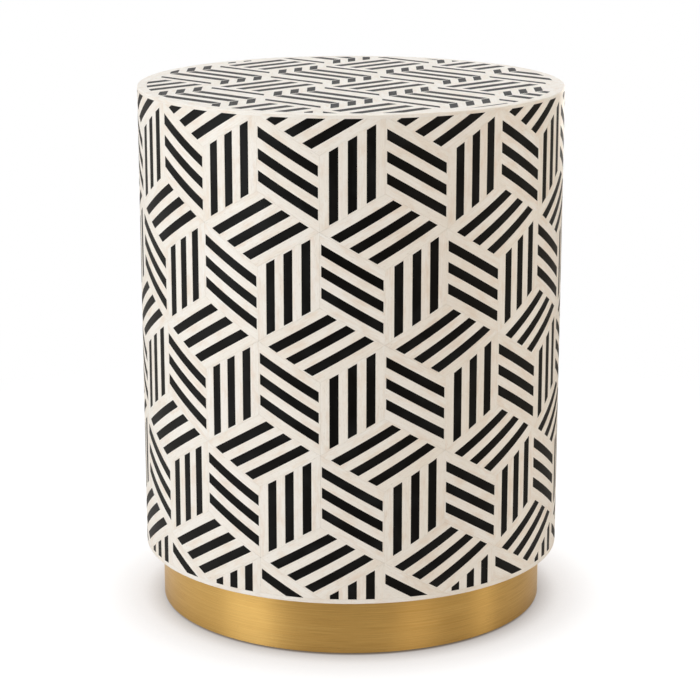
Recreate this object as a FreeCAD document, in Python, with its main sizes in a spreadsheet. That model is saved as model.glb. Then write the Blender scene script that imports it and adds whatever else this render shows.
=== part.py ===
import FreeCAD, Part
import Sketcher
import math
import os

from FreeCAD import Placement, Rotation, Vector

# Drum stool: a closed drum inlaid with bone and black strips, on a recessed brass plinth.
# Millimetres, +Z up, origin on the floor under the drum's axis. The photographed side faces -Y.

SIZES = (
    # Drum and inlay
    ("drum_diameter", 360),
    ("drum_height", 400),
    ("inlay_thickness", 3),
    ("seat_border", 8),
    ("foot_border", 4.2),
    ("border_segments", 12),
    ("arris_round", 1),
    ("wall_columns", 11),
    ("wall_rows", 4),
    ("wall_strips", 3),
    ("seat_tile_width", 47),
    ("seat_upright_edge", 25),
    ("seat_left_strips", 1),
    ("seat_right_strips", 3),
    ("seat_top_strips", 3),
    ("tile_joint", 0.08),
    ("strip_fit", 0.05),
    # Carcass
    ("ply_thickness", 5),
    ("ply_seam", 0.5),
    ("glue_line", 0.1),
    ("seat_board_thickness", 18),
    ("bottom_board_thickness", 12),
    ("hoop_thickness", 18),
    ("hoop_width", 47),
    ("upright_count", 6),
    ("upright_width", 32),
    ("upright_depth", 20),
    ("upright_clearance", 0.2),
    # Plinth
    ("plinth_diameter", 331),
    ("plinth_height", 48),
    ("plinth_ring_width", 40),
    ("band_thickness", 1),
    ("band_seam", 0.4),
    # Glides
    ("glide_count", 6),
    ("glide_diameter", 22),
    ("glide_height", 2),
    ("glide_round", 0.8),
    # Fasteners
    ("screw_shank", 4),
    ("screw_head", 8),
    ("screw_head_height", 2.4),
    ("recess_span", 4.4),
    ("recess_width", 1),
    ("recess_depth", 1.6),
    ("upright_screw_bite", 32),
    ("nail_shank", 2),
    ("nail_head", 6),
    ("nail_head_height", 0.8),
    ("nail_length", 16),
    ("nail_sink", 0.4),
    ("pin_shank", 1.4),
    ("pin_head", 3.2),
    ("pin_head_height", 0.9),
    ("pin_length", 9),
    ("pin_inset", 6),
    # Fits and cuts
    ("hole_clearance", 0.1),
    ("cut_overrun", 1),
)

# Radii and heights that several pieces share
PLACES = (
    ("drum_radius", "sizes.drum_diameter / 2"),
    ("seat_radius", "places.drum_radius - sizes.seat_border"),
    ("ply_radius", "places.drum_radius - sizes.inlay_thickness"),
    ("ply_joint_radius", "places.ply_radius - sizes.ply_thickness"),
    ("wall_bore_radius", "places.ply_joint_radius - sizes.ply_thickness"),
    ("former_radius", "places.wall_bore_radius - sizes.glue_line"),
    ("hoop_inner_radius", "places.former_radius - sizes.hoop_width"),
    ("hoop_screw_radius", "places.former_radius - sizes.hoop_width / 2"),
    ("band_radius", "sizes.plinth_diameter / 2"),
    ("plinth_core_radius", "places.band_radius - sizes.band_thickness"),
    ("plinth_inner_radius", "places.plinth_core_radius - sizes.plinth_ring_width"),
    ("plinth_screw_radius", "places.plinth_core_radius - sizes.plinth_ring_width / 2"),
    ("plinth_z", "sizes.glide_height"),
    ("plinth_joint_z", "places.plinth_z + sizes.plinth_height / 2"),
    ("foot_z", "places.plinth_z + sizes.plinth_height"),
    ("top_z", "places.foot_z + sizes.drum_height"),
    ("board_top_z", "places.top_z - sizes.inlay_thickness"),
    ("seat_board_z", "places.board_top_z - sizes.seat_board_thickness"),
    ("upper_hoop_z", "places.seat_board_z - sizes.hoop_thickness"),
    ("lower_hoop_z", "places.foot_z + sizes.bottom_board_thickness"),
    ("upright_z", "places.lower_hoop_z + sizes.hoop_thickness"),
    ("middle_hoop_z", "(places.upright_z + places.upper_hoop_z - sizes.hoop_thickness) / 2"),
    ("middle_hoop_top_z", "places.middle_hoop_z + sizes.hoop_thickness"),
    ("upright_reach", "places.former_radius - sizes.upright_clearance"),
    ("upright_outer", "sqrt(places.upright_reach ^ 2 - (sizes.upright_width / 2) ^ 2)"),
    ("upright_inner", "places.upright_outer - sizes.upright_depth"),
)

# Turns of the fastener rings, as shares of the step between two neighbours
UPRIGHT_TURN_SHARE = 0
HOOP_SCREW_TURN_SHARE = 0.5
PLINTH_SCREW_TURN_SHARE = 0.25
GLIDE_TURN_SHARE = 0

# How far a screw goes into the board or hoop that it holds, as a share of its thickness
SCREW_BITE_SHARE = 2 / 3

# Heights of the band's pins, as shares of the plinth's height
PIN_HEIGHT_SHARES = (0.125, 0.375, 0.625, 0.875)

# Inlay: the wall's first column, as a share of a column from the front; the rise of its cubes and the
# part of another row below them, as shares of a tile edge; the seat's first cube, as shares of its
# upright edge from the axis; a strip's plain end, as a share of the tile edge; and the least part of a
# whole piece that is still cut and set
WALL_TURN_SHARE = -0.24
WALL_RISE_SHARE = 0.023
WALL_FOOT_SHARE = 0.55
SEAT_SHIFT_SHARES = (0.96, 3)
STRIP_END_SHARE = 0.022
LEAST_TILE_SHARE = 0.001
LEAST_STRIP_SHARE = 0.08

# The drawn cubes: the rise of a slanted edge, as a share of the upright edge on the wall and of the
# tile's width on the seat
WALL_EDGE_RISE_SHARE = 0.5
SEAT_EDGE_RISE_SHARE = 0.9

AXIS = Vector(0, 0, 1)
CENTRE = Vector(0, 0, 0)
FULL_TURN = 360
BACK_SEAM_TURN = -90
FRONT_SEAM_TURN = 90

doc = FreeCAD.newDocument("drum_stool")
sizes = doc.addObject("Spreadsheet::Sheet", "sizes")
for row, (alias, number) in enumerate(SIZES, start=1):
    sizes.set("A%d" % row, alias)
    sizes.set("B%d" % row, str(number))
    sizes.setAlias("B%d" % row, alias)
doc.recompute()

places = doc.addObject("App::VarSet", "places")
for name, expression in PLACES:
    places.addProperty("App::PropertyFloat", name)
    places.setExpression(name, expression)
doc.recompute()

nodes = []


def size(alias):
    return float(sizes.get(alias))


def count(alias):
    return int(sizes.get(alias))


def origin_feature(body, role):
    return next(feature for feature in body.Origin.OriginFeatures if feature.Role == role)


# Boards, hoops, plies and plinth rings: a rectangle turned about the axis

def section_sketch(body, inner, outer, low, high):
    sketch = body.newObject("Sketcher::SketchObject", "section")
    sketch.AttachmentSupport = (origin_feature(body, "XZ_Plane"), [""])
    sketch.MapMode = "FlatFace"
    corners = [Vector(1, 1, 0), Vector(2, 1, 0), Vector(2, 2, 0), Vector(1, 2, 0)]
    for start, end in zip(corners, corners[1:] + corners[:1]):
        sketch.addGeometry(Part.LineSegment(start, end))
    for line in range(4):
        sketch.addConstraint(Sketcher.Constraint("Coincident", line, 2, (line + 1) % 4, 1))
        direction = "Vertical" if line % 2 else "Horizontal"
        sketch.addConstraint(Sketcher.Constraint(direction, line))
    limits = [("outer", "DistanceX", 1, outer), ("low", "DistanceY", 0, low), ("high", "DistanceY", 2, high)]
    if inner is None:
        sketch.addConstraint(Sketcher.Constraint("PointOnObject", 0, 1, -2))
    else:
        limits.append(("inner", "DistanceX", 0, inner))
    for name, kind, line, expression in limits:
        index = sketch.addConstraint(Sketcher.Constraint(kind, -1, 1, line, 1, 1))
        sketch.renameConstraint(index, name)
        sketch.setExpression("Constraints." + name, expression)
    return sketch


def turned_ring(label, inner, outer, low, high, seam=None, seam_turn=0):
    body = doc.addObject("PartDesign::Body", label)
    sketch = section_sketch(body, inner, outer, low, high)
    turn = body.newObject("PartDesign::Revolution", "turn")
    turn.Profile = sketch
    turn.ReferenceAxis = (sketch, ["V_Axis"])
    turn.Angle = FULL_TURN
    if seam:
        turn.Midplane = True
        turn.setExpression("Angle", "360 - 180 / pi * %s / %s" % (seam, outer))
        body.Placement = Placement(CENTRE, Rotation(AXIS, seam_turn))
    return body


def keep(node, label):
    node.Label = label
    nodes.append(node)
    return node


def feature(name, shape):
    made = doc.addObject("Part::Feature", name)
    made.Shape = shape
    return made


def drilled(label, blank, *tools):
    cut = doc.addObject("Part::Cut", label)
    cut.Base = blank
    cut.Tool = tools[0]
    if len(tools) > 1:
        cut.Tool = doc.addObject("Part::Compound", label + "_holes")
        cut.Tool.Links = list(tools)
    return keep(cut, label)


# Fasteners: a profile turned about its own axis, head at zero and point upwards

def turned_solid(edges):
    face = Part.Face(Part.Wire(Part.__sortEdges__(edges)))
    return face.revolve(CENTRE, AXIS, FULL_TURN)


def profile(points):
    return Part.makePolygon([Vector(across, 0, along) for across, along in points]).Edges


def outline(points):
    return profile(points + points[:1])


def screw(length):
    shank = size("screw_shank") / 2
    head = size("screw_head") / 2
    neck = size("screw_head_height")
    taper = length - 2 * shank
    solid = turned_solid(outline(((0, 0), (head, 0), (shank, neck), (shank, taper), (0, length))))
    span, width, depth = size("recess_span"), size("recess_width"), size("recess_depth")
    bars = [
        Part.makeBox(long, wide, depth, Vector(-long / 2, -wide / 2, 0))
        for long, wide in ((span, width), (width, span))
    ]
    return solid.cut(bars)


def screw_hole(length):
    room = size("hole_clearance")
    shank = size("screw_shank") / 2 + room
    head = size("screw_head") / 2 + room
    mouth = -size("cut_overrun")
    neck = size("screw_head_height")
    end = length + room
    points = ((0, mouth), (head, mouth), (head, 0), (shank, neck), (shank, end), (0, end))
    return turned_solid(outline(points))


def nail():
    shank, head = size("nail_shank") / 2, size("nail_head") / 2
    flat, length = size("nail_head_height"), size("nail_length")
    points = ((0, 0), (head, 0), (head, flat), (shank, flat), (shank, length - 2 * shank), (0, length))
    return turned_solid(outline(points))


def nail_hole():
    room = size("hole_clearance")
    shank, end = size("nail_shank") / 2 + room, size("nail_length") + room
    return turned_solid(outline(((0, 0), (shank, 0), (shank, end), (0, end))))


def pin():
    shank, head = size("pin_shank") / 2, size("pin_head") / 2
    crown, length = size("pin_head_height"), size("pin_length")
    radius = (head ** 2 + crown ** 2) / (2 * crown)
    half_angle = math.asin(head / radius) / 2
    shoulder = Vector(radius * math.sin(half_angle), 0, radius - crown - radius * math.cos(half_angle))
    dome = Part.Arc(Vector(0, 0, -crown), shoulder, Vector(head, 0, 0)).toShape()
    path = [(head, 0), (shank, 0), (shank, length - 2 * shank), (0, length), (0, -crown)]
    return turned_solid([dome] + profile(path))


def pin_hole():
    room = size("hole_clearance")
    shank, mouth = size("pin_shank") / 2 + room, -size("cut_overrun")
    end = size("pin_length") + room
    return turned_solid(outline(((0, mouth), (shank, mouth), (shank, end), (0, end))))


def ring_spots(radius, height, number, turn_share, upside_down=False):
    spots = []
    for step in range(number):
        spin = Rotation(AXIS, FULL_TURN / number * (step + turn_share))
        tilt = spin * Rotation(Vector(1, 0, 0), 180) if upside_down else spin
        spots.append(Placement(spin.multVec(Vector(radius, 0, height)), tilt))
    return spots


def seam_spots():
    radius = places.band_radius
    lean = math.degrees(size("pin_inset") / radius)
    spots = []
    for side in (-lean, lean):
        spin = Rotation(AXIS, 90 + side)
        inwards = spin * Rotation(Vector(0, 1, 0), -90)
        for share in PIN_HEIGHT_SHARES:
            height = places.plinth_z + share * size("plinth_height")
            spots.append(Placement(spin.multVec(Vector(radius, 0, height)), inwards))
    return spots


def placed(shape, spots):
    copies = [shape.transformed(spot.toMatrix(), copy=True) for spot in spots]
    return Part.makeCompound([solid for copy in copies for solid in copy.Solids])


def fastener_set(label, solid, hole, spots):
    keep(feature(label, placed(solid, spots)), label)
    return feature(label + "_room", placed(hole, spots))


def screw_set(label, passed, bite, spots):
    return fastener_set(label, screw(passed + bite), screw_hole(passed + bite), spots)


hoop, seat_wood = size("hoop_thickness"), size("seat_board_thickness")
bottom_wood, plinth_wood = size("bottom_board_thickness"), size("plinth_height")
upright_middle = places.upright_inner + size("upright_depth") / 2
hoop_ring = (count("upright_count"), HOOP_SCREW_TURN_SHARE)
upright_ring = (count("upright_count"), UPRIGHT_TURN_SHARE)
plinth_ring = (count("upright_count"), PLINTH_SCREW_TURN_SHARE)
glide_spots = ring_spots(places.plinth_screw_radius, 0, count("glide_count"), GLIDE_TURN_SHARE)
nail_rise = Placement(Vector(0, 0, size("nail_sink")), Rotation())

seat_room = screw_set(
    "seat_screws", hoop, SCREW_BITE_SHARE * seat_wood,
    ring_spots(places.hoop_screw_radius, places.upper_hoop_z, *hoop_ring))
upright_room = screw_set(
    "upright_screws", hoop, size("upright_screw_bite"),
    ring_spots(upright_middle, places.lower_hoop_z, *upright_ring)
    + ring_spots(upright_middle, places.seat_board_z, *upright_ring, upside_down=True))
bottom_room = screw_set(
    "bottom_screws", bottom_wood, SCREW_BITE_SHARE * hoop,
    ring_spots(places.hoop_screw_radius, places.foot_z, *hoop_ring))
plinth_room = screw_set(
    "plinth_screws", plinth_wood, SCREW_BITE_SHARE * bottom_wood,
    ring_spots(places.plinth_screw_radius, places.plinth_z, *plinth_ring))
nail_room = fastener_set("glide_nails", nail(), nail_hole(), [nail_rise * spot for spot in glide_spots])
pin_room = fastener_set("band_pins", pin(), pin_hole(), seam_spots())

# Carcass: boards and hoops that form the drum, and the two bent plies round them

FORMER = "places.former_radius"
HOOP_BORE = "places.hoop_inner_radius"

seat_blank = turned_ring("seat_board_blank", None, FORMER, "places.seat_board_z", "places.board_top_z")
drilled("seat_board", seat_blank, seat_room)

bottom_blank = turned_ring("bottom_board_blank", None, FORMER, "places.foot_z", "places.lower_hoop_z")
drilled("bottom_board", bottom_blank, bottom_room, plinth_room)

upper_blank = turned_ring("upper_hoop_blank", HOOP_BORE, FORMER, "places.upper_hoop_z", "places.seat_board_z")
drilled("upper_hoop", upper_blank, seat_room, upright_room)

lower_blank = turned_ring("lower_hoop_blank", HOOP_BORE, FORMER, "places.lower_hoop_z", "places.upright_z")
drilled("lower_hoop", lower_blank, bottom_room, upright_room)

inner_ply = turned_ring(
    "wall_ply_inner_sheet", "places.wall_bore_radius", "places.ply_joint_radius", "places.foot_z",
    "places.board_top_z", "sizes.ply_seam", FRONT_SEAM_TURN)
keep(inner_ply, "wall_ply_inner")

outer_ply = turned_ring(
    "wall_ply_outer_sheet", "places.ply_joint_radius", "places.ply_radius", "places.foot_z",
    "places.board_top_z", "sizes.ply_seam", BACK_SEAM_TURN)
keep(outer_ply, "wall_ply_outer")


def upright_block(label, step, room, low, high):
    """A batten against the inside of the wall, or with room round it, the notch that it passes."""
    block = doc.addObject("Part::Box", label)
    angle = "(360deg * (%d + %s) / sizes.upright_count)" % (step, UPRIGHT_TURN_SHARE)
    inner = "(places.upright_inner - %s)" % room
    half_width = "(sizes.upright_width / 2 + %s)" % room
    block.setExpression("Length", "sizes.upright_depth + 2 * %s" % room)
    block.setExpression("Width", "2 * " + half_width)
    block.setExpression("Height", "%s - %s" % (high, low))
    block.setExpression("Placement.Base.x", "cos%s * %s + sin%s * %s" % (angle, inner, angle, half_width))
    block.setExpression("Placement.Base.y", "sin%s * %s - cos%s * %s" % (angle, inner, angle, half_width))
    block.setExpression("Placement.Base.z", low)
    block.setExpression("Placement.Rotation.Angle", angle)
    return block


notches = []
for step in range(count("upright_count")):
    label = "upright_%d" % (step + 1)
    batten = upright_block(label + "_batten", step, "0", "places.upright_z", "places.upper_hoop_z")
    drilled(label, batten, upright_room)
    notch = upright_block(
        label + "_notch", step, "sizes.upright_clearance", "places.middle_hoop_z", "places.middle_hoop_top_z")
    notches.append(notch)

middle_blank = turned_ring(
    "middle_hoop_blank", HOOP_BORE, FORMER, "places.middle_hoop_z", "places.middle_hoop_top_z")
drilled("middle_hoop", middle_blank, *notches)

# Plinth: two rings under the drum, clad in a brass band that meets at the back

PLINTH_BORE = "places.plinth_inner_radius"
PLINTH_CORE = "places.plinth_core_radius"

upper_ring = turned_ring(
    "plinth_ring_upper_blank", PLINTH_BORE, PLINTH_CORE, "places.plinth_joint_z", "places.foot_z")
drilled("plinth_ring_upper", upper_ring, plinth_room, pin_room)

lower_ring = turned_ring(
    "plinth_ring_lower_blank", PLINTH_BORE, PLINTH_CORE, "places.plinth_z", "places.plinth_joint_z")
drilled("plinth_ring_lower", lower_ring, plinth_room, pin_room, nail_room)

band = turned_ring(
    "plinth_band_sheet", PLINTH_CORE, "places.band_radius", "places.plinth_z", "places.foot_z",
    "sizes.band_seam", BACK_SEAM_TURN)
drilled("plinth_band", band, pin_room)


# Glides: low rounded discs, bored for a nail whose head sits above the floor

def glide():
    radius, height = size("glide_diameter") / 2, size("glide_height")
    room, soft = size("hole_clearance"), size("glide_round")
    bore = size("nail_shank") / 2 + room
    well = size("nail_head") / 2 + room
    seat = size("nail_sink") + size("nail_head_height")
    flat = radius - soft
    path = [(radius, soft), (radius, height), (bore, height), (bore, seat)]
    path += [(well, seat), (well, 0), (flat, 0)]
    slant = soft * (1 - math.sqrt(0.5))
    edge = Part.Arc(Vector(flat, 0, 0), Vector(radius - slant, 0, slant), Vector(radius, 0, soft)).toShape()
    return turned_solid(profile(path) + [edge])


for step, spot in enumerate(glide_spots, start=1):
    disc = feature("glide_%d" % step, glide())
    disc.Placement = spot
    keep(disc, "glide_%d" % step)


# Inlay: convex pieces with one flat side for each edge of their outline

def meeting_point(first, second, third):
    normal_1, offset_1 = first
    normal_2, offset_2 = second
    normal_3, offset_3 = third
    cross = normal_2.cross(normal_3)
    total = cross * offset_1 + normal_3.cross(normal_1) * offset_2 + normal_1.cross(normal_2) * offset_3
    return total / normal_1.dot(cross)


def wedge(corners, sight_of_edge, sight, near, far, inset):
    """The block inside the planes that hold each edge and its line of sight, between two cap planes."""
    middle = sum(corners, Vector()) / len(corners)
    planes = []
    for start, end in zip(corners, corners[1:] + corners[:1]):
        normal = (end - start).cross(sight_of_edge(start, end)).normalize()
        if normal.dot(middle - start) > 0:
            normal = -normal
        planes.append((normal, normal.dot(start) - inset))
    rims = [
        [meeting_point(before, after, (sight, cap)) for before, after in zip(planes[-1:] + planes, planes)]
        for cap in (near, far)
    ]
    low, high = rims
    outlines = [low, high]
    for index in range(len(planes)):
        after = (index + 1) % len(planes)
        outlines.append([low[index], low[after], high[after], high[index]])
    faces = [Part.Face(Part.makePolygon(points + points[:1])) for points in outlines]
    block = Part.Solid(Part.Shell(faces))
    if block.Volume < 0:
        block.reverse()
    return block


def facings(half_width, rise, edge):
    """The three faces of a drawn cube: the side that its strips follow and the side that they step along."""
    down, right, left = (0, -edge), (half_width, rise), (-half_width, rise)
    return {"left": (left, down), "right": (down, right), "top": (right, left)}


def parallelogram(cube, along, across, span, band):
    return [
        tuple(cube[axis] + u * along[axis] + v * across[axis] for axis in (0, 1))
        for u, v in ((span[0], band[0]), (span[1], band[0]), (span[1], band[1]), (span[0], band[1]))
    ]


def strip_bands(strips_alias):
    """The strips of a tile as shares of its side, with bone lanes of their width between and beside them."""
    lanes = 2 * count(strips_alias) + 1
    return [(lane / lanes, (lane + 1) / lanes) for lane in range(1, lanes, 2)]


def clipped(points, limit, keeps_below):
    """The part of an outline on one side of a height; a corner within half a joint of it is left as it is."""
    side = 1 if keeps_below else -1
    kept = []

    def past(corner):
        over = side * (corner[1] - limit)
        return 0 if abs(over) < size("tile_joint") / 2 else over

    for start, end in zip(points, points[1:] + points[:1]):
        start_over, end_over = past(start), past(end)
        if start_over <= 0:
            kept.append(start)
        if start_over * end_over < 0:
            share = start_over / (start_over - end_over)
            kept.append((start[0] + share * (end[0] - start[0]), limit))
    return kept


def outline_area(points):
    pairs = zip(points, points[1:] + points[:1])
    return abs(sum(start[0] * end[1] - end[0] * start[1] for start, end in pairs)) / 2


STRIP_SPAN = (STRIP_END_SHARE, 1 - STRIP_END_SHARE)
WHOLE = (0, 1)


def cut_cell(cube, sides, bands, shape_of, block_of, layer, whole):
    """One tile with its slots, and the strips that fill them, or nothing where too little is left."""
    tile_outline = shape_of(parallelogram(cube, *sides, WHOLE, WHOLE))
    if not tile_outline:
        return [], []
    tile = block_of(tile_outline, size("tile_joint") / 2).common(layer)
    if tile.Volume < LEAST_TILE_SHARE * whole:
        return [], []
    slots, strips = [], []
    for band in bands:
        strip_outline = shape_of(parallelogram(cube, *sides, STRIP_SPAN, band))
        if not strip_outline:
            continue
        strip = block_of(strip_outline, size("strip_fit")).common(layer)
        if strip.Volume > LEAST_STRIP_SHARE * whole * (band[1] - band[0]):
            strips += strip.Solids
            slots.append(block_of(strip_outline, 0))
    return (tile.cut(slots) if slots else tile).Solids, strips


# Wall inlay: one column of cubes, unrolled, cut to the height between the borders, and turned round the drum

drum_radius, ply_radius = places.drum_radius, places.ply_radius
column_width = 2 * math.pi * drum_radius / count("wall_columns")
wall_low = places.foot_z + size("foot_border")
wall_high = places.board_top_z
wall_row_step = 1 + WALL_EDGE_RISE_SHARE
wall_edge = (wall_high - places.foot_z) / (wall_row_step * count("wall_rows") + WALL_FOOT_SHARE)
wall_cell = column_width / 2 * wall_edge * size("inlay_thickness")
wall_shell = Part.makeCylinder(drum_radius, size("drum_height"), Vector(0, 0, places.foot_z)).cut(
    Part.makeCylinder(ply_radius, size("drum_height"), Vector(0, 0, places.foot_z)))


def wall_sight(position):
    angle = position / drum_radius - math.pi / 2
    return Vector(math.cos(angle), math.sin(angle), 0)


def wall_shape(points):
    kept = clipped(clipped(points, wall_high, True), wall_low, False)
    return kept if len(kept) > 2 and outline_area(kept) > 0 else None


def wall_block(points, inset):
    corners = [wall_sight(place) * drum_radius + AXIS * height for place, height in points]
    middle = sum(place for place, height in points) / len(points)
    half_view = max(abs(place - middle) for place, height in points) / drum_radius
    near = ply_radius * math.cos(half_view) - size("cut_overrun")
    far = drum_radius + size("cut_overrun")

    def edge_sight(start, end):
        across = start + end
        return Vector(across.x, across.y, 0).normalize()

    return wedge(corners, edge_sight, wall_sight(middle), near, far, inset)


def turns(number):
    return [Placement(CENTRE, Rotation(AXIS, FULL_TURN * step / number)) for step in range(number)]


wall_bands = strip_bands("wall_strips")
for facing, sides in facings(column_width / 2, WALL_EDGE_RISE_SHARE * wall_edge, wall_edge).items():
    tiles, strips = [], []
    for row in range(count("wall_rows") + 1):
        turn = WALL_TURN_SHARE + (row % 2) / 2
        drop = WALL_EDGE_RISE_SHARE + wall_row_step * row - WALL_RISE_SHARE
        cube = (column_width * turn, wall_high - wall_edge * drop)
        cell = cut_cell(cube, sides, wall_bands, wall_shape, wall_block, wall_shell, wall_cell)
        tiles += cell[0]
        strips += cell[1]
    for kind, solids in (("tiles", tiles), ("strips", strips)):
        label = "wall_%s_%s" % (kind, facing)
        keep(feature(label, placed(Part.makeCompound(solids), turns(count("wall_columns")))), label)

# Seat inlay: flatter cubes with short uprights, cut to the circle inside the border, where the strips
# of the top faces run to the right in one row and to the left in the next

seat_half_width, seat_edge = size("seat_tile_width"), size("seat_upright_edge")
seat_rise = SEAT_EDGE_RISE_SHARE * seat_half_width
seat_row_step = seat_edge + seat_rise
seat_disc = Part.makeCylinder(
    places.seat_radius - size("tile_joint") / 2, size("inlay_thickness"), Vector(0, 0, places.board_top_z))
seat_cell = seat_half_width * seat_edge * size("inlay_thickness")
seat_reach = places.seat_radius + 2 * seat_row_step
seat_rows = math.ceil(seat_reach / (2 * seat_row_step))
seat_columns = math.ceil(seat_reach / (2 * seat_half_width))


def seat_shape(points):
    sides = Part.makePolygon([Vector(*point, 0) for point in points + points[:1]])
    return points if sides.distToShape(Part.Vertex(CENTRE))[0] < places.seat_radius else None


def seat_block(points, inset):
    corners = [Vector(across, along, 0) for across, along in points]
    near = places.board_top_z - size("cut_overrun")
    far = places.top_z + size("cut_overrun")
    return wedge(corners, lambda start, end: AXIS, AXIS, near, far, inset)


seat_facings = facings(seat_half_width, seat_rise, seat_edge)
every_row = range(-2 * seat_rows, 2 * seat_rows + 1)
for facing, sides, strips_alias, rows in (
    ("left", seat_facings["left"], "seat_left_strips", every_row),
    ("right", seat_facings["right"], "seat_right_strips", every_row),
    ("top", seat_facings["top"], "seat_top_strips", every_row[::2]),
    ("turned", seat_facings["top"][::-1], "seat_top_strips", every_row[1::2]),
):
    seat_bands = strip_bands(strips_alias)
    tiles, strips = [], []
    for row in rows:
        for column in range(-seat_columns, seat_columns + 1):
            cube = (
                SEAT_SHIFT_SHARES[0] * seat_edge + 2 * seat_half_width * (column + (row % 2) / 2),
                SEAT_SHIFT_SHARES[1] * seat_edge + seat_row_step * row,
            )
            cell = cut_cell(cube, sides, seat_bands, seat_shape, seat_block, seat_disc, seat_cell)
            tiles += cell[0]
            strips += cell[1]
    for kind, solids in (("tiles", tiles), ("strips", strips)):
        label = "seat_%s_%s" % (kind, facing)
        keep(feature(label, Part.makeCompound(solids)), label)


# Borders: curved bone segments with one rounded corner at the drum's arris

def border(label, inner, low, high, rounds_top):
    outer, soft = drum_radius, size("arris_round")
    arris, flat, turn = (high, low, -1) if rounds_top else (low, high, 1)
    path = [(outer - soft, arris), (inner, arris), (inner, flat), (outer, flat), (outer, arris + turn * soft)]
    slant = soft * (1 - math.sqrt(0.5))
    middle = Vector(outer - slant, 0, arris + turn * slant)
    edge = Part.Arc(Vector(outer - soft, 0, arris), middle, Vector(outer, 0, arris + turn * soft)).toShape()
    section = Part.Face(Part.Wire(Part.__sortEdges__(profile(path) + [edge])))
    number = count("border_segments")
    segment = section.revolve(CENTRE, AXIS, FULL_TURN / number - math.degrees(size("tile_joint") / outer))
    keep(feature(label, placed(segment, turns(number))), label)


border("seat_edge_border", places.seat_radius, places.board_top_z, places.top_z, True)
border("wall_foot_border", ply_radius, places.foot_z, wall_low - size("tile_joint") / 2, False)

# Every piece is sound before any is written

doc.recompute()
for item in doc.Objects:
    if "Invalid" in item.State or "Error" in item.State:
        raise RuntimeError("%s did not build: %s" % (item.Label, item.State))
for node in nodes:
    if node.Shape.isNull() or not node.Shape.isValid() or not node.Shape.Solids:
        raise RuntimeError("%s has no sound solid" % node.Label)

os.makedirs("parts", exist_ok=True)
for node in nodes:
    node.Shape.exportStep("parts/%s.step" % node.Label)
print("%d nodes, %d solids" % (len(nodes), sum(len(node.Shape.Solids) for node in nodes)))
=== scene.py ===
import math

import bpy
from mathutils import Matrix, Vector


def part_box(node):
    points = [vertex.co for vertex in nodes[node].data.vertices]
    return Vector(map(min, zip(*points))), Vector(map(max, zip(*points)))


# Drum stool: bone and black inlay all over a drum, on a plinth of brushed brass. Every piece is a CAD node
# with a procedural material, and the scene adds only floor, room, lamps and camera. Lengths are in metres.

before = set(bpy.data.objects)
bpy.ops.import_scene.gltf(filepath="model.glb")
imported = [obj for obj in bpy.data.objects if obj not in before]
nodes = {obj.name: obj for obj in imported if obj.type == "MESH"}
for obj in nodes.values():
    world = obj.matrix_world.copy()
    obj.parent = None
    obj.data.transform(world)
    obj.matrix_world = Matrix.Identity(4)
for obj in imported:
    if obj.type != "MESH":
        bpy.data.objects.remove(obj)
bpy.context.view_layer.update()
drum_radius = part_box("wall_tiles_left")[1].x
band_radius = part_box("plinth_band")[1].x


# Building blocks for the node trees

def add(tree, kind, inputs=None, **settings):
    """A shader node with its settings, and its inputs linked or set."""
    made = tree.nodes.new("ShaderNode" + kind)
    for key, value in settings.items():
        setattr(made, key, value)
    for key, value in (inputs or {}).items():
        if isinstance(value, bpy.types.NodeSocket):
            tree.links.new(value, made.inputs[key])
        else:
            made.inputs[key].default_value = value
    return made


def calc(tree, operation, *values):
    return add(tree, "Math", dict(enumerate(values)), operation=operation).outputs[0]


def times(tree, first, second):
    return calc(tree, "MULTIPLY", first, second)


def plus(tree, first, second):
    return calc(tree, "ADD", first, second)


def blend(tree, share, first, second):
    return add(tree, "Mix", {0: share, 6: first, 7: second}, data_type="RGBA").outputs[2]


def span(tree, value, low, high, to_low=0.0, to_high=1.0):
    """Stretches a value's range from low and high to two others, and stops at both."""
    inputs = {0: value, 1: low, 2: high, 3: to_low, 4: to_high}
    return add(tree, "MapRange", inputs).outputs[0]


def noise(tree, place, stretch, detail=3.0, roughness=0.55):
    """Noise with so many features to the metre in each direction."""
    stretched = add(tree, "Mapping", {"Vector": place, "Scale": stretch}).outputs[0]
    inputs = {"Vector": stretched, "Scale": 1.0, "Detail": detail, "Roughness": roughness}
    return add(tree, "TexNoise", inputs).outputs[0]


def rgb(*screen):
    """A colour as a screen shows it, 0 to 255, in the linear values that shaders take."""
    shares = [value / 255 for value in screen]
    linear = [c / 12.92 if c <= 0.04045 else ((c + 0.055) / 1.055) ** 2.4 for c in shares]
    return (*linear, 1.0)


def new_look(name, **sockets):
    """A material, its tree and its shader, with the values that are the same all over set on the shader."""
    material = bpy.data.materials.new(name)
    material.use_nodes = True
    shader = material.node_tree.nodes["Principled BSDF"]
    for key, value in sockets.items():
        shader.inputs[key.replace("_", " ")].default_value = value
    return material, material.node_tree, shader


def finish_look(tree, shader, colour, rough, height, strength, depth):
    """Links colour and roughness, and raises the surface by height times depth, in metres."""
    tree.links.new(colour, shader.inputs["Base Color"])
    tree.links.new(rough, shader.inputs["Roughness"])
    bump = add(tree, "Bump", {"Strength": strength, "Distance": depth, "Height": height})
    tree.links.new(bump.outputs[0], shader.inputs["Normal"])


def flat_place(tree):
    """The place in the frame, as it is."""
    return add(tree, "TexCoord").outputs["Object"]


def wall_place(tree, radius):
    """The place on an upright cylinder: arc length from the front, and the way up and in over its top."""
    axes = add(tree, "SeparateXYZ", {0: flat_place(tree)}).outputs
    turn = calc(tree, "ARCTAN2", axes[0], times(tree, axes[1], -1.0))
    arc = times(tree, turn, radius)
    squares = plus(tree, calc(tree, "POWER", axes[0], 2.0), calc(tree, "POWER", axes[1], 2.0))
    up = calc(tree, "SUBTRACT", axes[2], calc(tree, "SQRT", squares))
    return add(tree, "CombineXYZ", {0: arc, 1: up}).outputs[0]


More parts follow.
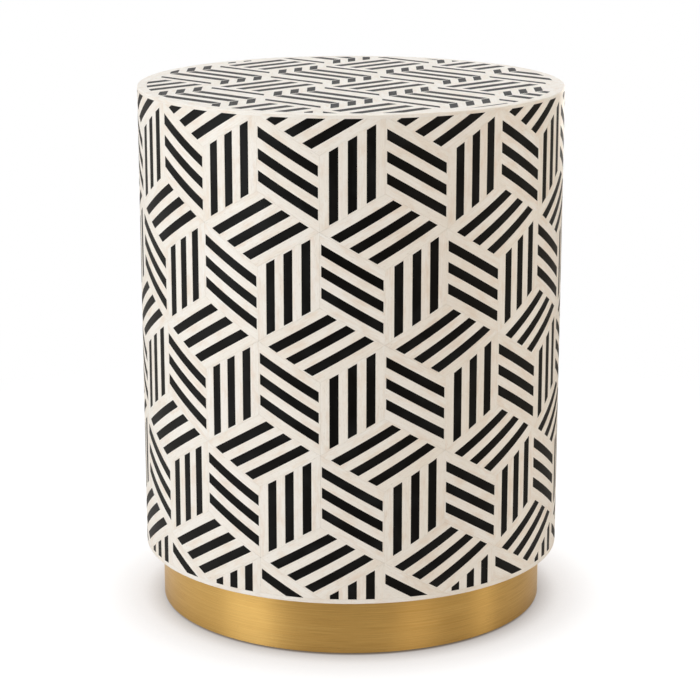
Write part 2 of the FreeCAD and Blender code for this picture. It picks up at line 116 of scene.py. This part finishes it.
def drum_place(tree):
    return wall_place(tree, drum_radius)


# The most that the grain moves from one piece of the inlay to another
PIECE_SHIFT = (0.37, 0.61, 1.9)


def along_grain(tree, place, turn):
    """The place with X along the grain and each piece shifted by its own chance, and that chance."""
    turned = add(tree, "Mapping", {"Vector": place, "Rotation": (0, 0, -turn)}).outputs[0]
    chance = add(tree, "NewGeometry").outputs["Random Per Island"]
    shift = add(tree, "VectorMath", {0: chance, 1: PIECE_SHIFT}, operation="MULTIPLY").outputs[0]
    return add(tree, "VectorMath", {0: turned, 1: shift}, operation="ADD").outputs[0], chance


# Materials

BONE_CREAM, BONE_WARM = rgb(248, 243, 236), rgb(243, 234, 221)
BONE_MOTTLE, BONE_PORE = rgb(236, 219, 201), rgb(150, 126, 102)
FIBRE_DARK, FIBRE_LIGHT = rgb(229, 215, 199), rgb(252, 249, 244)
BLACK, BLACK_STREAK = rgb(3, 3, 3), rgb(13, 12, 11)
BLACK_DRIFT, BLACK_PIECE = rgb(24, 25, 26), rgb(15, 13, 11)
BRASS_LIGHT, BRASS_DEEP = rgb(236, 198, 122), rgb(226, 183, 106)
BRASS_LINE, BRASS_TARNISH = rgb(182, 139, 70), rgb(174, 129, 64)
SOFTWOOD_PALE, SOFTWOOD_DARK = rgb(214, 176, 126), rgb(176, 132, 84)
PLY_PALE, PLY_DARK = rgb(214, 190, 150), rgb(182, 148, 104)
BOARD_PALE, BOARD_DARK = rgb(96, 70, 48), rgb(66, 46, 32)
ZINC, ZINC_BLOOM = rgb(190, 190, 186), rgb(160, 156, 146)
PLASTIC, PLASTIC_SCUFF = rgb(52, 44, 38), rgb(84, 72, 62)


def bone_look(name, place_of, turn):
    """Polished bone: cream, with fibres along its length, fine pores and warmer patches."""
    material, tree, shader = new_look(name, Specular_IOR_Level=0.45, IOR=1.5)
    place, chance = along_grain(tree, place_of(tree), turn)
    fibres = noise(tree, place, (55, 700, 1), 4.0)
    threads = noise(tree, place, (180, 3200, 1), 2.0)
    patches = noise(tree, place, (14, 26, 1), 2.0)
    pores = span(tree, noise(tree, place, (330, 3600, 1), 0.0), 0.70, 0.80)
    mottle = noise(tree, place, (48, 130, 1), 3.0, 0.6)
    warmth = plus(tree, span(tree, patches, 0.35, 0.7, 0.0, 0.55), times(tree, chance, 0.25))
    colour = blend(tree, warmth, BONE_CREAM, BONE_WARM)
    colour = blend(tree, span(tree, mottle, 0.48, 0.72, 0.0, 0.75), colour, BONE_MOTTLE)
    colour = blend(tree, span(tree, fibres, 0.45, 0.8, 0.0, 0.3), colour, FIBRE_DARK)
    colour = blend(tree, span(tree, fibres, 0.42, 0.25, 0.0, 0.6), colour, FIBRE_LIGHT)
    colour = blend(tree, times(tree, pores, 0.25), colour, BONE_PORE)
    rough = span(tree, fibres, 0.2, 0.8, 0.30, 0.46)
    ridges = plus(tree, times(tree, fibres, 0.6), times(tree, threads, 0.4))
    height = calc(tree, "SUBTRACT", ridges, pores)
    finish_look(tree, shader, colour, rough, height, strength=0.25, depth=0.00012)
    return material


def black_look(name, place_of, turn):
    """Polished black strips, with faint streaks along them and fine rubbing marks."""
    material, tree, shader = new_look(name, Specular_IOR_Level=0.15, IOR=1.5)
    place, chance = along_grain(tree, place_of(tree), turn)
    streaks = noise(tree, place, (40, 1100, 1), 3.0)
    marks = noise(tree, place, (900, 260, 1), 2.0)
    drift = noise(tree, place, (32, 60, 1), 2.0)
    colour = blend(tree, span(tree, streaks, 0.4, 0.75), BLACK, BLACK_STREAK)
    colour = blend(tree, span(tree, drift, 0.45, 0.72), colour, BLACK_DRIFT)
    colour = blend(tree, times(tree, chance, 0.3), colour, BLACK_PIECE)
    rubbed = span(tree, marks, 0.55, 0.8, 0.0, 0.10)
    rough = plus(tree, span(tree, streaks, 0.25, 0.75, 0.44, 0.56), rubbed)
    height = plus(tree, streaks, times(tree, marks, 0.3))
    finish_look(tree, shader, colour, rough, height, strength=0.2, depth=0.0001)
    return material


def brass_look(name):
    """Brass brushed round the plinth, with darker strokes and faint tarnish."""
    material, tree, shader = new_look(name, Metallic=1.0, Anisotropic=0.8, Anisotropic_Rotation=0.25)
    place = wall_place(tree, band_radius)
    lines = noise(tree, place, (26, 2600, 1), 4.0, 0.75)
    strokes = noise(tree, place, (9, 1100, 1), 2.0)
    tarnish = noise(tree, place, (9, 30, 1), 4.0)
    colour = blend(tree, span(tree, strokes, 0.3, 0.7), BRASS_LIGHT, BRASS_DEEP)
    colour = blend(tree, span(tree, lines, 0.45, 0.75, 0.0, 0.6), colour, BRASS_LINE)
    colour = blend(tree, span(tree, tarnish, 0.55, 0.8, 0.0, 0.25), colour, BRASS_TARNISH)
    dulled = span(tree, tarnish, 0.5, 0.8, 0.0, 0.06)
    rough = plus(tree, span(tree, lines, 0.3, 0.7, 0.26, 0.40), dulled)
    tangent = add(tree, "Tangent", direction_type="RADIAL", axis="Z")
    tree.links.new(tangent.outputs[0], shader.inputs["Tangent"])
    finish_look(tree, shader, colour, rough, lines, strength=0.35, depth=0.00008)
    return material


PORES_PER_STREAK = 6


def wood_look(name, stretch, pale, dark, rough_range):
    """Bare wood or board: streaks by the stretch given, with fine pores."""
    material, tree, shader = new_look(name, Specular_IOR_Level=0.3, IOR=1.5)
    place = flat_place(tree)
    grain = noise(tree, place, stretch, 5.0, 0.6)
    fine = noise(tree, place, tuple(PORES_PER_STREAK * s for s in stretch), 3.0)
    colour = blend(tree, span(tree, grain, 0.35, 0.7), pale, dark)
    colour = blend(tree, span(tree, fine, 0.5, 0.85, 0.0, 0.5), colour, dark)
    rough = span(tree, fine, 0.3, 0.7, *rough_range)
    height = plus(tree, grain, times(tree, fine, 0.5))
    finish_look(tree, shader, colour, rough, height, strength=0.4, depth=0.0003)
    return material


def steel_look(name):
    """Zinc-plated steel with the turning marks and a dull bloom."""
    material, tree, shader = new_look(name, Metallic=1.0)
    place = flat_place(tree)
    turning = noise(tree, place, (2600, 2600, 900), 3.0)
    bloom = noise(tree, place, (180, 180, 180), 3.0)
    colour = blend(tree, span(tree, bloom, 0.4, 0.7), ZINC, ZINC_BLOOM)
    rough = span(tree, turning, 0.3, 0.7, 0.25, 0.45)
    finish_look(tree, shader, colour, rough, turning, strength=0.3, depth=0.0001)
    return material


def plastic_look(name):
    """Moulded glide plastic with a fine texture and scuffs from the floor."""
    material, tree, shader = new_look(name, Specular_IOR_Level=0.4, IOR=1.48)
    place = flat_place(tree)
    texture = noise(tree, place, (1800, 1800, 1800), 2.0)
    scuffs = noise(tree, place, (90, 600, 200), 3.0)
    colour = blend(tree, span(tree, scuffs, 0.5, 0.75, 0.0, 0.6), PLASTIC, PLASTIC_SCUFF)
    rough = span(tree, scuffs, 0.3, 0.7, 0.45, 0.65)
    finish_look(tree, shader, colour, rough, texture, strength=0.3, depth=0.0001)
    return material


def dress(names, material):
    for name in names:
        for slot in nodes[name].material_slots:
            slot.material = material


def numbered(stem):
    """The nodes that are named by a stem and a number."""
    return [name for name in nodes if name.startswith(stem + "_") and name[-1].isdigit()]


# The inlay's grain follows each facing's strips, in degrees from level on the wall and from X on the seat
WALL_TURNS = {"left": -30, "right": 90, "top": 30}
SEAT_TURNS = {"left": -42, "right": 90, "top": 42, "turned": -42}
for field, place_of, turns in (("wall", drum_place, WALL_TURNS), ("seat", flat_place, SEAT_TURNS)):
    for facing, degrees in turns.items():
        turn = math.radians(degrees)
        dress([f"{field}_tiles_{facing}"], bone_look(f"{field}_bone_{facing}", place_of, turn))
        dress([f"{field}_strips_{facing}"], black_look(f"{field}_black_{facing}", place_of, turn))
dress(["seat_edge_border", "wall_foot_border"], bone_look("bone_border", drum_place, 0.0))
dress(["plinth_band", "band_pins"], brass_look("brushed_brass"))

BARE_ROUGH, STAINED_ROUGH = (0.55, 0.7), (0.6, 0.75)
softwood = wood_look("softwood", (90, 90, 7), SOFTWOOD_PALE, SOFTWOOD_DARK, BARE_ROUGH)
birch_ply = wood_look("birch_ply", (30, 30, 260), PLY_PALE, PLY_DARK, BARE_ROUGH)
stained_board = wood_look("stained_board", (420, 420, 420), BOARD_PALE, BOARD_DARK, STAINED_ROUGH)
dress(numbered("upright"), softwood)
dress(["wall_ply_inner", "wall_ply_outer", "upper_hoop", "middle_hoop", "lower_hoop"], birch_ply)
dress(["seat_board", "bottom_board", "plinth_ring_upper", "plinth_ring_lower"], stained_board)
dress(["seat_screws", "upright_screws", "bottom_screws", "plinth_screws", "glide_nails"],
      steel_look("zinc_steel"))
dress(numbered("glide"), plastic_look("glide_plastic"))


# Floor and room: white where the camera looks, with a painted shadow round the object, dimmer and warmer to
# the front and right in reflections

WHITE = (1, 1, 1, 1)
FLOOR_REACH = 9
FLOOR_DROP = 0.0001         # keeps the floor out of the plane of the glides' undersides
NEAR, FAR = 0.3, 0.8        # distances from the axis between which the floor turns to plain white
# How far the painted shadow and the painted contact shade reach, as ambient occlusion distances
SHADOW_REACH, CONTACT_REACH = 0.1, 0.025
SHADOW_SAMPLES = 16
# Painted shade colours: brown in the contact line under the band, standing for warm light bounced from the
# brass, and a faint warm tint in the painted shadow
PAINTED_CONTACT_SHADE_BROWN, SHADOW_TINT = (0.62, 0.46, 0.32, 1), (1, 0.965, 0.95, 1)
FLOOR_DIM_TINT, ROOM_DIM_TINT = (1, 0.78, 0.53, 1), (1, 0.74, 0.48, 1)
FLOOR_BOUNCE, FLOOR_FAINT = (0.8, 0.78, 0.75, 1), (0.24, 0.24, 0.24, 1)
ROOM_LIGHT = 0.4            # strength of the room as a light on the object


def camera_rays(tree):
    """1 for what the camera sees, straight or by reflection or glass, and 1 for what it sees straight."""
    rays = add(tree, "LightPath").outputs
    indirect = calc(tree, "MAXIMUM", rays["Is Glossy Ray"], rays["Is Transmission Ray"])
    return calc(tree, "MAXIMUM", rays["Is Camera Ray"], indirect), rays["Is Camera Ray"]


def floor_look(name):
    """White paint with a soft shadow under and beside the object: a faint real shadow from the lamps, and
    painted shadow from ambient occlusion in its glow.
    """
    material = bpy.data.materials.new(name)
    material.use_nodes = True
    tree = material.node_tree
    tree.nodes.clear()
    shown, straight = camera_rays(tree)
    place = flat_place(tree)
    across, ahead, _ = add(tree, "SeparateXYZ", {0: place}).outputs
    distance = add(tree, "VectorMath", {0: place}, operation="LENGTH").outputs["Value"]
    near = span(tree, distance, NEAR, FAR, 1.0, 0.0)

    mirrored = span(tree, ahead, -0.55, -0.2, 0.22, 0.65)
    mirrored = times(tree, mirrored, span(tree, across, -0.4, 0.4, 1.0, 0.6))
    level = calc(tree, "MAXIMUM", straight, mirrored)
    # Painted shadow: ambient occlusion dims the floor's glow near the object, deepest at the contact and on
    # the right side, away from the key lamp
    painted_shadow_ao, painted_contact_ao = (
        add(tree, "AmbientOcclusion", {"Distance": reach}, samples=SHADOW_SAMPLES).outputs["AO"]
        for reach in (SHADOW_REACH, CONTACT_REACH))
    darkest_painted_shade = span(tree, across, -0.05, 0.2, 0.32, 0.16)
    painted_shade = span(tree, painted_shadow_ao, 0.0, 0.8, darkest_painted_shade, 1.0)
    painted_shade = times(tree, painted_shade, span(tree, painted_contact_ao, 0.45, 0.95, 0.72, 1.0))
    glow = times(tree, span(tree, near, 0.0, 1.0, 1.0, 0.87), painted_shade)
    glow = times(tree, glow, level)
    # Colour of the painted shade: brown at the contact, warm grey in the shadow, white beyond
    tint = blend(tree, span(tree, painted_shadow_ao, 0.05, 0.45), PAINTED_CONTACT_SHADE_BROWN, SHADOW_TINT)
    tint = blend(tree, span(tree, painted_shadow_ao, 0.5, 0.9), tint, WHITE)
    tint = blend(tree, level, FLOOR_DIM_TINT, tint)

    bounce = add(tree, "BsdfDiffuse", {"Color": FLOOR_BOUNCE}).outputs[0]
    faint = add(tree, "BsdfDiffuse", {"Color": FLOOR_FAINT}).outputs[0]
    light = add(tree, "Emission", {"Color": tint, "Strength": glow}).outputs[0]
    lit = add(tree, "AddShader", {0: faint, 1: light}).outputs[0]
    seen = add(tree, "MixShader", {0: near, 1: light, 2: lit}).outputs[0]
    surface = add(tree, "MixShader", {0: shown, 1: bounce, 2: seen}).outputs[0]
    add(tree, "OutputMaterial", {"Surface": surface})
    return material


def studio_room(name):
    """White to the camera, an even light on the object, and in reflections brightest behind and left."""
    world = bpy.data.worlds.new(name)
    world.use_nodes = True
    tree = world.node_tree
    tree.nodes.clear()
    shown, straight = camera_rays(tree)
    across, ahead, _ = add(tree, "SeparateXYZ", {0: add(tree, "TexCoord").outputs["Generated"]}).outputs
    room = plus(tree, span(tree, ahead, -0.75, 0.1, 0.16, 0.6), span(tree, ahead, 0.5, 0.95, 0.0, 0.4))
    room = times(tree, room, span(tree, across, 0.5, 0.95, 1.0, 0.45))
    room = plus(tree, room, span(tree, across, -0.5, -0.75, 0.0, 0.6))
    seen = calc(tree, "MAXIMUM", straight, calc(tree, "MINIMUM", room, 1.0))
    unseen = calc(tree, "SUBTRACT", 1.0, shown)
    strength = plus(tree, times(tree, shown, seen), times(tree, unseen, ROOM_LIGHT))
    tint = blend(tree, calc(tree, "MAXIMUM", unseen, seen), ROOM_DIM_TINT, WHITE)
    background = add(tree, "Background", {"Color": tint, "Strength": strength}).outputs[0]
    add(tree, "OutputWorld", {"Surface": background})
    return world


scene = bpy.context.scene
scene.world = studio_room("studio")
floor_mesh = bpy.data.meshes.new("floor")
floor_corners = [(x * FLOOR_REACH, y * FLOOR_REACH, 0) for x, y in ((-1, -1), (1, -1), (1, 1), (-1, 1))]
floor_mesh.from_pydata(floor_corners, [], [(0, 1, 2, 3)])
floor_mesh.materials.append(floor_look("floor_paint"))
floor = bpy.data.objects.new("floor", floor_mesh)
scene.collection.objects.link(floor)
floor.location.z = -FLOOR_DROP


# Lamps and camera

def lamp(name, place, target, size, watts, colour):
    """A rectangular area lamp, by width and height, that faces a target."""
    data = bpy.data.lights.new(name, "AREA")
    data.shape = "RECTANGLE"
    data.size, data.size_y = size
    data.energy = watts
    data.color = colour
    made = bpy.data.objects.new(name, data)
    scene.collection.objects.link(made)
    made.location = place
    made.rotation_euler = (made.location - Vector(target)).to_track_quat("Z", "Y").to_euler()


WALL_MIDDLE = (0, 0, 0.25)
UPPER_WALL = (0, 0, 0.3)
lamp("key_light", (-1.8, -1.05, 0.95), WALL_MIDDLE, size=(1.25, 1.7), watts=25, colour=(0.95, 0.98, 1))
lamp("fill_light", (1.3, -1.7, 0.8), WALL_MIDDLE, size=(0.8, 1.2), watts=7.3, colour=(1, 0.87, 0.72))
lamp("side_light", (1.93, -0.28, 0.6), WALL_MIDDLE, size=(0.14, 1.1), watts=4.8, colour=(1, 0.91, 0.76))
lamp("back_light", (0.4, 2.0, 0.3), WALL_MIDDLE, size=(1.6, 0.5), watts=9, colour=(1, 0.98, 0.95))
lamp("top_light", (0.2, 0.3, 2.2), UPPER_WALL, size=(1.4, 1.4), watts=13.5, colour=(0.97, 0.99, 1))

# The camera was fitted to the rims of seat, drum and plinth in the photograph
CAMERA_PLACE = (-0.0009, -1.9494, 0.720)
CAMERA_TILT = math.radians(75.53)
LENS_MM, SENSOR_MM = 119.1, 36
camera_data = bpy.data.cameras.new("camera")
camera_data.lens = LENS_MM
camera_data.sensor_width = SENSOR_MM
camera = bpy.data.objects.new("camera", camera_data)
scene.collection.objects.link(camera)
camera.location = CAMERA_PLACE
camera.rotation_euler = (CAMERA_TILT, 0, 0)
scene.camera = camera
scene.view_settings.view_transform = "Standard"
